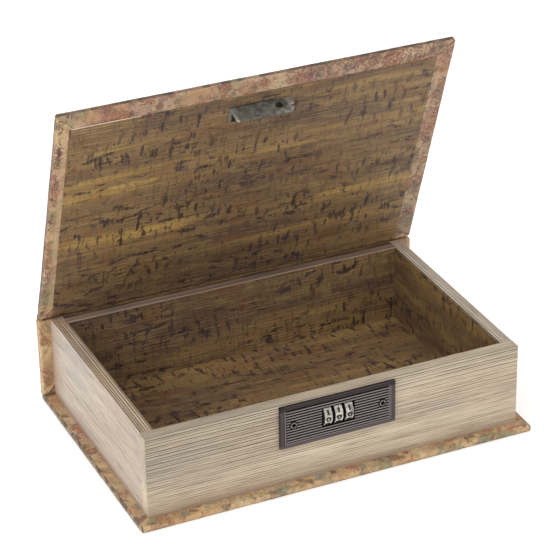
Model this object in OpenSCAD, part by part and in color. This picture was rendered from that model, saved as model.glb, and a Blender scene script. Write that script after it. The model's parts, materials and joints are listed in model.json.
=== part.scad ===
// Book-shaped keepsake box with a three-dial combination lock in its front wall.
// Frame: origin at the centre of the footprint, on the resting face. +Z up, -Y is the lock side, X along the spine.

/* [Block] */
// Length of the page block along the spine (mm)
block_w = 240; // [160:1:320]
// Depth of the page block, front face to back face (mm)
block_d = 154; // [100:1:220]
// Height of the page block (mm)
block_h = 53.4; // [44:0.2:90]
// Thickness of the wooden side walls (mm)
side_t = 8; // [5:0.1:14]
// Thickness of the wooden front wall (mm)
front_t = 7.65; // [5:0.05:14]
// Thickness of the wooden back wall (mm)
back_t = 8.65; // [5:0.05:14]
// Thickness of the lining panels (mm)
lining_t = 0.75; // [0.4:0.05:2]
// Number of lines of page edges up the block
page_lines = 32; // [16:1:60]
// Depth of the grooves that imitate page edges (mm)
page_groove = 0.25; // [0.1:0.05:0.6]

/* [Cover] */
// How far the cover stands out past the block at each end (mm)
overhang_side = 7; // [3:0.5:12]
// How far the cover stands out past the front face (mm)
overhang_front = 7.5; // [3:0.5:12]
// Thickness of the cover cloth (mm)
cloth_t = 0.4; // [0.2:0.05:1]
// Thickness of the cover boards (mm)
board_t = 3.2; // [2:0.1:5]
// Thickness of the lid board (mm)
lid_board_t = 3.6; // [2:0.1:5]
// Thickness of the spine board (mm)
spine_t = 5; // [2:0.1:8]
// Radius of the cover's corners (mm)
cover_r = 1.4; // [0.5:0.1:6]
// How far the cover cloth turns in over the inside of the lid (mm)
turn_in = 10; // [6:0.5:20]
// Lid angle above closed, as drawn (degrees)
lid_open = 70; // [0:1:110]

/* [Lock] */
// Length of the lock's face plate (mm)
plate_w = 74.6; // [60:0.1:90]
// Height of the lock's face plate (mm)
plate_h = 28; // [24:0.1:36]
// Height of the face plate's centre above the block's bottom (mm)
plate_z = 38.3; // [20:0.1:60]
// Outer radius of the dials (mm)
dial_r = 7.2; // [5:0.1:9]
// Width of one dial (mm)
dial_w = 5.1; // [4:0.1:7]
// Distance from one dial to the next (mm)
dial_pitch = 6.85; // [5.5:0.05:9]
// Radius of the latch spindle (mm)
spindle_r = 1.5; // [1:0.05:2]
// Radial clearance of the dial hubs on the spindle (mm)
spindle_gap = 0.05; // [0.01:0.01:0.1]
// Latch travel between released and locked (mm)
latch_travel = 2.8; // [2:0.1:4]

/* [Hidden] */
cover_w = block_w + 2 * overhang_side;
cover_top = board_t + 2 * cloth_t;
spine_in = block_d + 0.4;
spine_out = spine_in + spine_t + 0.6;
y0 = -(spine_out - overhang_front) / 2;
z0 = cover_top;
lid_gap = 0.3;
lid_rear = spine_out + 1;
lid_z = block_h + lid_gap;
lining_lid_t = 0.7;
turn_z = lid_z + 0.3;
lid_top = turn_z + 2 * cloth_t + lid_board_t;
hinge_y = block_d + 4;
hinge_z = block_h + 5.7;
spine_top = block_h - 0.5;
axis_y = 3.8;
axis_z = 38.7;
plate_t = 2.2;
plate_floor = 1.1;
seat = 0.3;
window_w = 21.2;
window_z0 = 32.3;
window_z1 = 45.5;
frame_w = 3.3;
hub_r = 3.6;
case_x0 = -24;
case_x1 = 26.5;
case_z0 = 27.5;
case_z1 = 49;
case_y1 = 14.2;
case_wall = 1;
tongue_y = 11.4;
tongue_h = 11.5;
screw_x = 28.7;
tooth_x = 1.4;
e = 0.01;

wood = [0.74, 0.67, 0.58];
cloth = [0.67, 0.51, 0.35];
cork = [0.45, 0.36, 0.24];
grey_board = [0.55, 0.52, 0.47];
dark_metal = [0.27, 0.24, 0.23];
zinc = [0.48, 0.46, 0.42];
cream = [0.80, 0.78, 0.70];
steel = [0.62, 0.62, 0.62];

// Moves a piece from the block's own frame (front face y = 0, block bottom z = 0) to the part's frame.
module on_block() {
    translate([0, y0, z0]) children();
}

// Turns the closed lid about the cloth joint to its opening angle.
module opened() {
    translate([0, hinge_y, hinge_z]) rotate([-lid_open, 0, 0]) translate([0, -hinge_y, -hinge_z]) children();
}

module bx(x0, x1, ya, yb, za, zb) {
    translate([x0, ya, za]) cube([x1 - x0, yb - ya, zb - za]);
}

// Flat rounded plate lying in XY.
module plate_xy(x0, x1, ya, yb, za, zb, r) {
    translate([0, 0, za]) linear_extrude(zb - za) union() {
        translate([x0 + r, ya]) square([x1 - x0 - 2 * r, yb - ya]);
        translate([x0, ya + r]) square([x1 - x0, yb - ya - 2 * r]);
        for (cx = [x0 + r, x1 - r], cy = [ya + r, yb - r]) translate([cx, cy]) circle(r, $fn = 48);
    }
}

// Cylinder along X, Y or Z from one coordinate to another.
module rod_x(xa, xb, y, z, r) {
    translate([xa, y, z]) rotate([0, 90, 0]) cylinder(h = xb - xa, r = r, $fn = 64);
}

module rod_y(x, ya, yb, z, r) {
    translate([x, ya, z]) rotate([-90, 0, 0]) cylinder(h = yb - ya, r = r, $fn = 48);
}

module rod_z(x, y, za, zb, r) {
    translate([x, y, za]) cylinder(h = zb - za, r = r, $fn = 48);
}

// Outline of stacked page edges: u runs up the face, v is how deep each groove goes.
function page_z(i, n, h) = h * (i + 0.16 * sin(137 * i) + 0.06 * sin(61 * i + 20)) / n;
function page_edge(n, h) = [for (i = [1 : n - 1]) for (k = [-1 : 1])
    [page_z(i, n, h) + k * 0.28, k == 0 ? page_groove * (0.7 + 0.3 * sin(211 * i)) : 0]];

// ---- book cover ----
module bottom_board() color(grey_board) on_block() translate([0, 0, -z0]) {
    hw = cover_w / 2 - cloth_t;
    plate_xy(-hw, hw, -overhang_front + cloth_t, spine_out - cloth_t, cloth_t, cloth_t + board_t,
        cover_r - cloth_t);
}

module bottom_cloth() color(cloth) on_block() translate([0, 0, -z0]) difference() {
    hw = cover_w / 2;
    plate_xy(-hw, hw, -overhang_front, spine_out, 0, cover_top, cover_r);
    plate_xy(-hw + cloth_t, hw - cloth_t, -overhang_front + cloth_t, spine_out - cloth_t,
        cloth_t, cloth_t + board_t, cover_r - cloth_t);
    bx(-block_w / 2 + side_t, block_w / 2 - side_t, front_t, block_d - back_t, 1, 9);
}

module spine_board() color(grey_board) on_block() {
    bx(-cover_w / 2 + cloth_t, cover_w / 2 - cloth_t, spine_in, spine_in + spine_t, cloth_t, spine_top - cloth_t);
}

module spine_cloth() color(cloth) on_block() difference() {
    translate([-cover_w / 2, 0, 0]) rotate([90, 0, 90]) linear_extrude(cover_w) polygon([
        [block_d, 0], [spine_out, 0],
        [spine_out, spine_top - 1.2], [spine_out - 0.35, spine_top - 0.35], [spine_out - 1.2, spine_top],
        [block_d, spine_top]]);
    bx(-cover_w / 2 + cloth_t, cover_w / 2 - cloth_t, spine_in, spine_in + spine_t, cloth_t, spine_top - cloth_t);
}

// ---- page block ----
module floor_panel() color(wood) on_block() {
    bx(-block_w / 2 + side_t, block_w / 2 - side_t, front_t, block_d - back_t, -cloth_t, 2.4);
}

module front_wall() color(wood) on_block() difference() {
    translate([-block_w / 2, 0, 0]) rotate([90, 0, 90]) linear_extrude(block_w) polygon(concat(
        [[0, 0]], [for (p = page_edge(page_lines, block_h)) [p[1], p[0]]],
        [[0, block_h - 0.2], [0.2, block_h], [front_t, block_h], [front_t, 0]]));
    bx(-plate_w / 2, plate_w / 2, -1, seat, plate_z - plate_h / 2, plate_z + plate_h / 2);
    bx(case_x0 - 0.1, case_x1 + 0.1, 0, front_t + 1, case_z0 - 0.1, case_z1 + 0.1);
    rod_y(-screw_x, 0.1, front_t + 1, 39, 1.3);
    rod_y(screw_x, 0.1, front_t + 1, 39, 1.3);
}

module side_wall_shape() {
    m = 5;
    translate([0, block_d, 0]) rotate([90, 0, 0]) linear_extrude(block_d - front_t) polygon(concat(
        [[0, 0]], [for (p = page_edge(page_lines, block_h)) [p[1], p[0]]], [[0, block_h - 0.2], [0.2, block_h]],
        [for (i = [1 : m]) for (k = [-1 : 1]) [side_t * (i - 0.5 + 0.15 * sin(97 * i)) / m + 0.2 + k * 0.4,
            block_h - (k == 0 ? 0.5 : 0)]],
        [[side_t, block_h], [side_t, 0]]));
}

module left_wall() color(wood) on_block() {
    translate([-block_w / 2, 0, 0]) side_wall_shape();
}

module right_wall() color(wood) on_block() {
    translate([block_w / 2, 0, 0]) mirror([1, 0, 0]) side_wall_shape();
}

module back_wall() color(wood) on_block() {
    bx(-block_w / 2 + side_t, block_w / 2 - side_t, block_d - back_t, block_d, 0, block_h);
}

in_x = block_w / 2 - side_t;
lin_z0 = 3.15;
lin_z1 = block_h - 0.2;
lin_y0 = front_t;
lin_y1 = block_d - back_t;

module lining_floor() color(cork) on_block() {
    bx(-in_x, in_x, lin_y0, lin_y1, 2.4, lin_z0);
}

module lining_front() color(cork) on_block() difference() {
    bx(-in_x, in_x, lin_y0, lin_y0 + lining_t, lin_z0, lin_z1);
    bx(case_x0 - 0.1, case_x1 + 0.1, 0, front_t + 3, case_z0 - 0.1, case_z1 + 0.1);
    rod_y(-screw_x, 0, front_t + 3, 39, 1.3);
    rod_y(screw_x, 0, front_t + 3, 39, 1.3);
}

module lining_back() color(cork) on_block() {
    bx(-in_x, in_x, lin_y1 - lining_t, lin_y1, lin_z0, lin_z1);
}

module lining_left() color(cork) on_block() {
    bx(-in_x, -in_x + lining_t, lin_y0 + lining_t, lin_y1 - lining_t, lin_z0, lin_z1);
}

module lining_right() color(cork) on_block() {
    bx(in_x - lining_t, in_x, lin_y0 + lining_t, lin_y1 - lining_t, lin_z0, lin_z1);
}

// ---- lock face plate ----
module plate_outline(grow, ya, yb, r) {
    w = plate_w / 2 + grow;
    h = plate_h / 2 + grow;
    translate([0, 0, plate_z]) rotate([90, 0, 0]) plate_xy(-w, w, -h, h, -yb, -ya, r);
}

// Cross section of the plate across one direction: outer bevel, flat crest.
function plate_edge(half) = [[seat, -half], [-1.5, -half], [-plate_t, -half + 0.7],
    [-plate_t, half - 0.7], [-1.5, half], [seat, half]];

// Cross section of the recess inside the frame, with sides sloping in to the floor.
function recess_edge(half) = [[-plate_floor, -half + frame_w], [-plate_t - 1, -half + frame_w - 1.9],
    [-plate_t - 1, half - frame_w + 1.9], [-plate_floor, half - frame_w]];

module lock_plate() color(dark_metal) on_block() difference() {
    rib_n = 12;
    rib_h = plate_h - 2 * frame_w;
    union() {
        difference() {
            intersection() {
                plate_outline(0, -plate_t, seat, 1.2);
                translate([-50, 0, plate_z]) rotate([90, 0, 90]) linear_extrude(100) polygon(plate_edge(plate_h / 2));
                linear_extrude(100) polygon([for (q = plate_edge(plate_w / 2)) [q[1], q[0]]]);
            }
            intersection() {
                translate([-50, 0, plate_z]) rotate([90, 0, 90]) linear_extrude(100) polygon(recess_edge(plate_h / 2));
                linear_extrude(100) polygon([for (q = recess_edge(plate_w / 2)) [q[1], q[0]]]);
            }
        }
        translate([-plate_w / 2 + frame_w + 0.8, 0, plate_z - rib_h / 2]) rotate([90, 0, 90])
            linear_extrude(plate_w - 2 * frame_w - 1.6) polygon(concat(
            [[-plate_floor + 0.4, 0.2]],
            [for (i = [0 : rib_n - 1]) for (q = [[0.25, 0], [0.42, 0.7], [0.95, 0.7], [1.12, 0]])
                [-plate_floor - q[1], rib_h * (i + q[0] / 1.4) / rib_n]],
            [[-plate_floor + 0.4, rib_h - 0.2]]));
    }
    bx(-window_w / 2, window_w / 2, -9, 1, window_z0, window_z1);
    rod_x(-window_w / 2, window_w / 2, axis_y, axis_z, dial_r + 0.35);
    rod_x(-window_w / 2 - 0.6, window_w / 2 + 0.6, axis_y, axis_z, hub_r + 0.4);
    for (s = [-1, 1]) {
        rod_y(s * screw_x, -9, 1, 39, 1.45);
        rod_y(s * screw_x, -9, -plate_floor + 0.15, 39, 2.75);
    }
}

module plate_screw(x) {
    difference() {
        union() {
            rod_y(x, -plate_floor - 0.75, -plate_floor + 0.15, 39, 2.35);
            translate([x, -plate_floor - 0.75, 39]) rotate([90, 0, 0]) cylinder(h = 0.35, r1 = 2.35, r2 = 1.8, $fn = 48);
            rod_y(x, -plate_floor - e, 8.2, 39, 1.28);
        }
        translate([x, -2.2, 39]) rotate([0, 20, 0]) cube([2.9, 1.9, 0.7], center = true);
        translate([x, -2.2, 39]) rotate([0, 20, 0]) cube([0.7, 1.9, 2.9], center = true);
    }
}

module plate_screw_left() color(dark_metal) on_block() plate_screw(-screw_x);

module plate_screw_right() color(dark_metal) on_block() plate_screw(screw_x);

// ---- lock case behind the plate ----
module lock_case() color(zinc) on_block() difference() {
    union() {
        difference() {
            bx(case_x0, case_x1, seat, case_y1, case_z0, case_z1);
            bx(case_x0 + case_wall, case_x1 - case_wall, -1, case_y1 + 1, case_z0 + case_wall, case_z1 - case_wall);
        }
        bx(-13.5, -12.5, seat, 10.4, case_z0 + 0.5, case_z1 - 0.5);
        bx(12.5, 13.5, seat, 10.4, case_z0 + 0.5, case_z1 - 0.5);
        rod_y(case_x0 + 3, 6, case_y1, case_z0 + 3, 2.2);
        rod_y(case_x1 - 3, 6, case_y1, case_z0 + 3, 2.2);
    }
    rod_x(-14, 14, axis_y, axis_z, spindle_r + spindle_gap);
    bx(-20, 24.6, 9, 13.6, case_z1 - 2, case_z1 + 1);
    rod_y(case_x0 + 3, 8, case_y1 + 1, case_z0 + 3, 0.9);
    rod_y(case_x1 - 3, 8, case_y1 + 1, case_z0 + 3, 0.9);
}

module lock_case_cover() color(zinc) on_block() difference() {
    plate_outline_cover();
    rod_y(case_x0 + 3, 10, 20, case_z0 + 3, 0.9);
    rod_y(case_x1 - 3, 10, 20, case_z0 + 3, 0.9);
}

module plate_outline_cover() {
    bx(case_x0, case_x1, case_y1, case_y1 + 0.8, case_z0, case_z1);
}

module cover_screw(x) {
    difference() {
        union() {
            rod_y(x, case_y1 + 0.8, case_y1 + 1.7, case_z0 + 3, 1.7);
            rod_y(x, case_y1 - 5, case_y1 + 0.8 + e, case_z0 + 3, 0.88);
        }
        translate([x, case_y1 + 1.7, case_z0 + 3]) cube([2, 0.9, 0.45], center = true);
        translate([x, case_y1 + 1.7, case_z0 + 3]) cube([0.45, 0.9, 2], center = true);
    }
}

module cover_screw_left() color(steel) on_block() cover_screw(case_x0 + 3);

module cover_screw_right() color(steel) on_block() cover_screw(case_x1 - 3);

// One strip on the case's back cover, with a bent leaf below each dial.
module detent_spring() color(steel) on_block() {
    union() {
        bx(-11, 11, case_y1 - 0.4, case_y1, 28.9, 31.4);
        for (i = [-1 : 1]) translate([i * dial_pitch - 1.5, 0, 0]) rotate([90, 0, 90]) linear_extrude(3) polygon([
            [case_y1 - 0.4, 31.2], [case_y1, 31.2], [case_y1, 31.9], [11.35, 34.5], [10.7, 35.3],
            [10.35, 35.1], [11.0, 34.1], [case_y1 - 0.4, 31.6]]);
    }
}

// ---- dials ----
module dial(i) {
    translate([i * dial_pitch, axis_y, axis_z]) rotate([0, 90, 0]) difference() {
        cylinder(h = dial_w, r = dial_r, center = true, $fn = 90);
        cylinder(h = dial_w + 1, r = hub_r + 0.02, center = true, $fn = 64);
        for (k = [0 : 9]) rotate([0, 0, k * 36 + 18]) translate([dial_r + 0.25, 0, 0])
            cylinder(h = dial_w + 1, r = 0.62, center = true, $fn = 24);
    }
}

// Sleeve with a keyway right through and a ring-shaped pocket each side of the gate web.
module hub(i) {
    translate([i * dial_pitch, axis_y, axis_z]) rotate([0, 90, 0]) difference() {
        cylinder(h = 6.4, r = hub_r, center = true, $fn = 64);
        cylinder(h = 8, r = spindle_r + spindle_gap, center = true, $fn = 64);
        for (s = [-1, 1]) translate([0, 0, s * 1.4]) cylinder(h = 1.6, r = 2.8, center = true, $fn = 64);
        translate([0, 1.4, 0]) cube([1.4, 2.8, 8], center = true);
    }
}

module dial_left() color(cream) on_block() dial(-1);

module dial_middle() color(cream) on_block() dial(0);

module dial_right() color(cream) on_block() dial(1);

module hub_left() color(steel) on_block() hub(-1);

module hub_middle() color(steel) on_block() hub(0);

module hub_right() color(steel) on_block() hub(1);

// ---- latch ----
module latch_spindle() color(steel) on_block() union() {
    rod_x(-18, 23.4, axis_y, axis_z, spindle_r);
    rod_x(-18, -17, axis_y, axis_z, 2.6);
    for (i = [-1 : 1]) bx(i * dial_pitch + tooth_x - 0.45, i * dial_pitch + tooth_x + 0.45,
        axis_y, axis_y + 2.45, axis_z - 0.45, axis_z + 0.45);
}

module latch_hook() color(zinc) on_block() difference() {
    translate([21.6, 0, 0]) union() {
        rotate([90, 0, 90]) linear_extrude(1.2) polygon([
            [axis_y - 2.6, axis_z - 2.6], [axis_y + 2.6, axis_z - 2.6], [12.9, 43.2], [12.9, 47.9],
            [10.4, 47.9], [10.4, 44.6], [axis_y - 2.6, axis_z + 2.6]]);
        translate([-1.1, 0, 0]) rotate([90, 0, 0]) translate([0, 0, -12.9]) linear_extrude(2.5) polygon([
            [0, 46.5], [0, 47.1], [0.8, 47.9], [1.2, 47.9], [1.2, 46.5]]);
    }
    rod_x(20, 24, axis_y, axis_z, spindle_r);
}

module latch_spring() color(steel) on_block() {
    for (k = [0 : 4]) translate([-16.7 + k * 0.72, axis_y, axis_z]) rotate([0, 90, 0])
        rotate_extrude($fn = 48) translate([2.05, 0]) circle(0.2, $fn = 16);
}

// ---- cloth joint, drawn with the lid open ----
function turned(y, z) = [
    hinge_y + (y - hinge_y) * cos(lid_open) + (z - hinge_z) * sin(lid_open),
    hinge_z - (y - hinge_y) * sin(lid_open) + (z - hinge_z) * cos(lid_open)];

module hinge_cloth() color(cloth) on_block() {
    p = turned(lid_rear + 0.06, lid_top - 0.9);
    q = turned(lid_rear + 0.06, lid_top);
    hw = cover_w / 2 - 1;
    translate([-hw, 0, 0]) rotate([90, 0, 90]) linear_extrude(2 * hw) polygon([
        [spine_out - 2.0, spine_top], [spine_out - 1.2, spine_top], [spine_out - 0.05, spine_top + 2.0], q, p,
        [spine_out - 0.95, spine_top + 1.9]]);
}

// ---- lid ----
module lid_board() color(grey_board) on_block() opened() {
    hw = cover_w / 2 - cloth_t;
    plate_xy(-hw, hw, -overhang_front + cloth_t, lid_rear - cloth_t, turn_z + cloth_t, lid_top - cloth_t,
        cover_r - cloth_t);
}

// The lining is pasted in a little off centre, so the turned-in cloth is widest at the right.
lin_left = -cover_w / 2 + turn_in - 2;
lin_right = cover_w / 2 - turn_in - 1.3;
lin_f = -overhang_front + turn_in + 0.7;
lin_r = lid_rear - 0.8;

module lid_cloth() color(cloth) on_block() opened() difference() {
    hw = cover_w / 2;
    plate_xy(-hw, hw, -overhang_front, lid_rear, turn_z, lid_top, cover_r);
    plate_xy(-hw + cloth_t, hw - cloth_t, -overhang_front + cloth_t, lid_rear - cloth_t,
        turn_z + cloth_t, lid_top - cloth_t, cover_r - cloth_t);
    bx(lin_left, lin_right, lin_f, lin_r, turn_z - 1, turn_z + cloth_t + 0.1);
}

module lid_lining() color(cork) on_block() opened() difference() {
    bx(lin_left, lin_right, lin_f, lin_r, lid_z, turn_z + cloth_t);
    for (x = [-9, 9]) rod_z(x, 17.2, 0, 80, 0.9);
}

module strike_bracket() color(zinc) on_block() opened() difference() {
    z1 = lid_z;
    z2 = lid_z - tongue_h;
    union() {
        translate([0, tongue_y + 1, 0]) rotate([90, 0, 0]) linear_extrude(1) polygon([
            [-19, z1], [-19, z2 + 2], [-17.5, z2], [16.3, z2], [18.5, z2 + 2.2], [18.5, 46.0], [17.0, 46.0],
            [17.0, 48.3], [20, 48.3], [20, z1]]);
        bx(-19, 16, tongue_y, tongue_y + 10.5, z1 - 1, z1);
    }
    rod_y(10.4, tongue_y - 1, tongue_y + 2, 48.4, 2.0);
    for (x = [-9, 9]) rod_z(x, 17.2, 0, 80, 1.0);
}

module strike_screw(x) {
    difference() {
        union() {
            rod_z(x, 17.2, lid_z - 1.8, lid_z - 1, 1.9);
            rod_z(x, 17.2, lid_z - 1 - e, turn_z + cloth_t, 0.88);
        }
        translate([x, 17.2, lid_z - 1.8]) cube([2.2, 0.45, 0.8], center = true);
        translate([x, 17.2, lid_z - 1.8]) cube([0.45, 2.2, 0.8], center = true);
    }
}

module strike_screw_left() color(steel) on_block() opened() strike_screw(-9);

module strike_screw_right() color(steel) on_block() opened() strike_screw(9);

bottom_board();
bottom_cloth();
spine_board();
spine_cloth();
floor_panel();
front_wall();
left_wall();
right_wall();
back_wall();
lining_floor();
lining_front();
lining_back();
lining_left();
lining_right();
lock_plate();
plate_screw_left();
plate_screw_right();
lock_case();
lock_case_cover();
cover_screw_left();
cover_screw_right();
detent_spring();
dial_left();
dial_middle();
dial_right();
hub_left();
hub_middle();
hub_right();
latch_spindle();
latch_hook();
latch_spring();
hinge_cloth();
lid_board();
lid_cloth();
lid_lining();
strike_bracket();
strike_screw_left();
strike_screw_right();
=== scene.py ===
"""Looks of the book-shaped lock box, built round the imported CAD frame."""
import json
import math
import random

import bmesh
import bpy
from mathutils import Matrix, Vector


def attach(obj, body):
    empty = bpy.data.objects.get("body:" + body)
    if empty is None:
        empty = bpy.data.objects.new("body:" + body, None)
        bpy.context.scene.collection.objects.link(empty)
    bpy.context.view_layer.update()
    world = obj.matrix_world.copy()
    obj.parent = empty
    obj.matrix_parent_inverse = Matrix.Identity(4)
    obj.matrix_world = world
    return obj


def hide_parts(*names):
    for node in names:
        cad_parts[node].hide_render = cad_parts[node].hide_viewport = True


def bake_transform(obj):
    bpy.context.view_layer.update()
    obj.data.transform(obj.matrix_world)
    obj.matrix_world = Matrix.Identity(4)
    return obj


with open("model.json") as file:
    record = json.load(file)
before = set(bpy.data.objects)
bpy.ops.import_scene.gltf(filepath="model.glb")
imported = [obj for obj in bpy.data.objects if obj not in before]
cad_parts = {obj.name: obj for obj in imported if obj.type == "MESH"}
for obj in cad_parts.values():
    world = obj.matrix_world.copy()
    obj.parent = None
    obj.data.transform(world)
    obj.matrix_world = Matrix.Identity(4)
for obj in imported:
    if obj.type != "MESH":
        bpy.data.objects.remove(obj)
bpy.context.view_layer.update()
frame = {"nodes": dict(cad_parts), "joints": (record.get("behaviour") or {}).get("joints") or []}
nodes = frame["nodes"]
MM = 0.001
scene = bpy.context.scene
scene.view_settings.view_transform = "Standard"

# ---------------------------------------------------------------- shape facts, from the CAD frame
HINGE = next(j for j in frame["joints"] if j["name"] == "lid_hinge")
HINGE_Y, HINGE_Z = HINGE["pos_m"][1] / MM, HINGE["pos_m"][2] / MM
OPEN = math.radians(-HINGE["range_deg"][0])
Y0 = HINGE_Y - 158.0  # the block's front face
Z0 = HINGE_Z - 59.1  # the block's underside
COVER_X = 127.0
FRONT_Y = Y0 - 7.5
LID_REAR = Y0 + 161.0
SPINE_OUT = Y0 + 160.0
SPINE_IN = Y0 + 154.02
LID_IN = Z0 + 54.0
LID_OUT = Z0 + 58.4
SPINE_TOP = Z0 + 52.9
BLOCK_TOP = Z0 + 53.4
BLOCK_X = 120.0
BACK_WALL_Y = Y0 + 145.35  # the back wall's inner face
PLATE_SCREW_X, PLATE_SCREW_Z, PLATE_SCREW_TURN = 28.7, Z0 + 39.0, 20.0
DIAL_PITCH, DIAL_RADIUS, DIAL_Y, DIAL_Z = 6.85, 7.2, Y0 + 3.8, Z0 + 38.7
TO_OPEN = (Matrix.Translation((0, HINGE_Y, HINGE_Z)) @ Matrix.Rotation(-OPEN, 4, "X")
           @ Matrix.Translation((0, -HINGE_Y, -HINGE_Z)))


# ---------------------------------------------------------------- node helpers
class Tree:
    """A short way to write a material's node tree."""

    def __init__(self, name):
        self.mat = bpy.data.materials.new(name)
        self.mat.use_nodes = True
        self.t = self.mat.node_tree
        self.bsdf = next(n for n in self.t.nodes if n.type == "BSDF_PRINCIPLED")

    def put(self, value, socket):
        if isinstance(value, bpy.types.NodeSocket):
            self.t.links.new(value, socket)
        elif value is not None:
            if isinstance(value, tuple) and len(value) == 3 and socket.type == "RGBA":
                value = (*value, 1.0)
            socket.default_value = value

    def node(self, kind, props=None, out=0, **inputs):
        n = self.t.nodes.new(kind)
        for k, v in (props or {}).items():
            setattr(n, k, v)
        for k, v in inputs.items():
            by_number = k[0] == "i" and k[1:].isdigit()
            self.put(v, n.inputs[int(k[1:]) if by_number else k.replace("_", " ")])
        return n.outputs[out]

    def math(self, op, a, b=None, c=None, clamp=False):
        return self.node("ShaderNodeMath", {"operation": op, "use_clamp": clamp}, i0=a, i1=b, i2=c)

    def mul(self, a, b, clamp=False):
        return self.math("MULTIPLY", a, b, clamp=clamp)

    def add(self, a, b):
        return self.math("ADD", a, b)

    def sub(self, a, b):
        return self.math("SUBTRACT", a, b)

    def absolute(self, a):
        return self.math("ABSOLUTE", a)

    def larger(self, a, b):
        return self.math("MAXIMUM", a, b)

    def vmath(self, op, a, b=None, out=0):
        return self.node("ShaderNodeVectorMath", {"operation": op}, out=out, i0=a, i1=b)

    def xyz(self, x=0.0, y=0.0, z=0.0):
        return self.node("ShaderNodeCombineXYZ", i0=x, i1=y, i2=z)

    def split(self, v):
        n = self.t.nodes.new("ShaderNodeSeparateXYZ")
        self.put(v, n.inputs[0])
        return n.outputs

    def object_at(self):
        return self.t.nodes.new("ShaderNodeTexCoord").outputs["Object"]

    def uv(self):
        return self.node("ShaderNodeUVMap", {"uv_map": "cloth"})

    def noise(self, v, scale, detail=2.0, rough=0.5, distort=0.0, out=0):
        return self.node("ShaderNodeTexNoise", out=out, Vector=v, Scale=scale, Detail=detail,
                         Roughness=rough, Distortion=distort)

    def voronoi(self, v, scale, feature="F1", rand=1.0):
        n = self.t.nodes.new("ShaderNodeTexVoronoi")
        n.feature = feature
        for k, x in (("Vector", v), ("Scale", scale), ("Randomness", rand)):
            self.put(x, n.inputs[k])
        return n.outputs

    def ramp(self, fac, *stops, mode="LINEAR"):
        n = self.t.nodes.new("ShaderNodeValToRGB")
        n.color_ramp.interpolation = mode
        e = n.color_ramp.elements
        while len(e) < len(stops):
            e.new(0.5)
        for el, (at, c) in zip(e, stops):
            el.position = at
            el.color = (*c, 1.0) if isinstance(c, tuple) else (c, c, c, 1.0)
        self.put(fac, n.inputs[0])
        return n.outputs[0]

    def step(self, v, lo, hi):
        n = self.t.nodes.new("ShaderNodeMapRange")
        n.interpolation_type = "SMOOTHSTEP"
        for i, x in enumerate((v, lo, hi, 0.0, 1.0)):
            self.put(x, n.inputs[i])
        return n.outputs[0]

    def mix(self, fac, a, b, blend="MIX"):
        n = self.t.nodes.new("ShaderNodeMix")
        n.data_type = "RGBA"
        n.blend_type = blend
        self.put(fac, n.inputs[0])
        self.put(a, n.inputs[6])
        self.put(b, n.inputs[7])
        return n.outputs[2]

    def finish(self, color, rough=0.6, bump=None, dist=0.0003, strength=1.0, metal=0.0, **sockets):
        self.put(color, self.bsdf.inputs["Base Color"])
        self.put(rough, self.bsdf.inputs["Roughness"])
        self.bsdf.inputs["Metallic"].default_value = metal
        for k, v in sockets.items():
            self.bsdf.inputs[k.replace("_", " ")].default_value = v
        if bump is not None:
            b = self.node("ShaderNodeBump", Strength=strength, Distance=dist, Height=bump)
            self.put(b, self.bsdf.inputs["Normal"])
        return self.mat


def srgb(r, g, b):
    return tuple(((c / 255 + 0.055) / 1.055) ** 2.4 if c > 10.3 else c / 255 / 12.92 for c in (r, g, b))


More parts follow.
